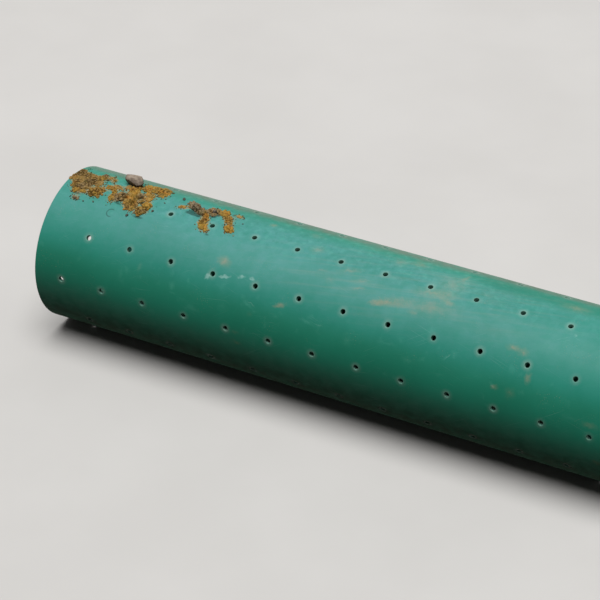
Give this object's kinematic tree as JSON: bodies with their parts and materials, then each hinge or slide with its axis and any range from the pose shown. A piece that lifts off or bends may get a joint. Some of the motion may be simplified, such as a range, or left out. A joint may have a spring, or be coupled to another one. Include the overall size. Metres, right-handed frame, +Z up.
{
  "type": "perforated drain pipe",
  "caption": "Straight plastic drain pipe with plain sawn ends, drilled all round with staggered rows of small round holes.",
  "frame": {"origin": "on the floor, under the middle of the pipe, which lies level", "axes": "+X along the pipe, +Z up; the picture looks from -Y, above and a little from +X"},
  "size_m": [1, 0.25, 0.2499],
  "materials": {
    "green_plastic": "satin",
    "dried_clay": "matte"
  },
  "bodies": {
    "root": {"pipe": "green_plastic"}
  },
  "joints": []
}
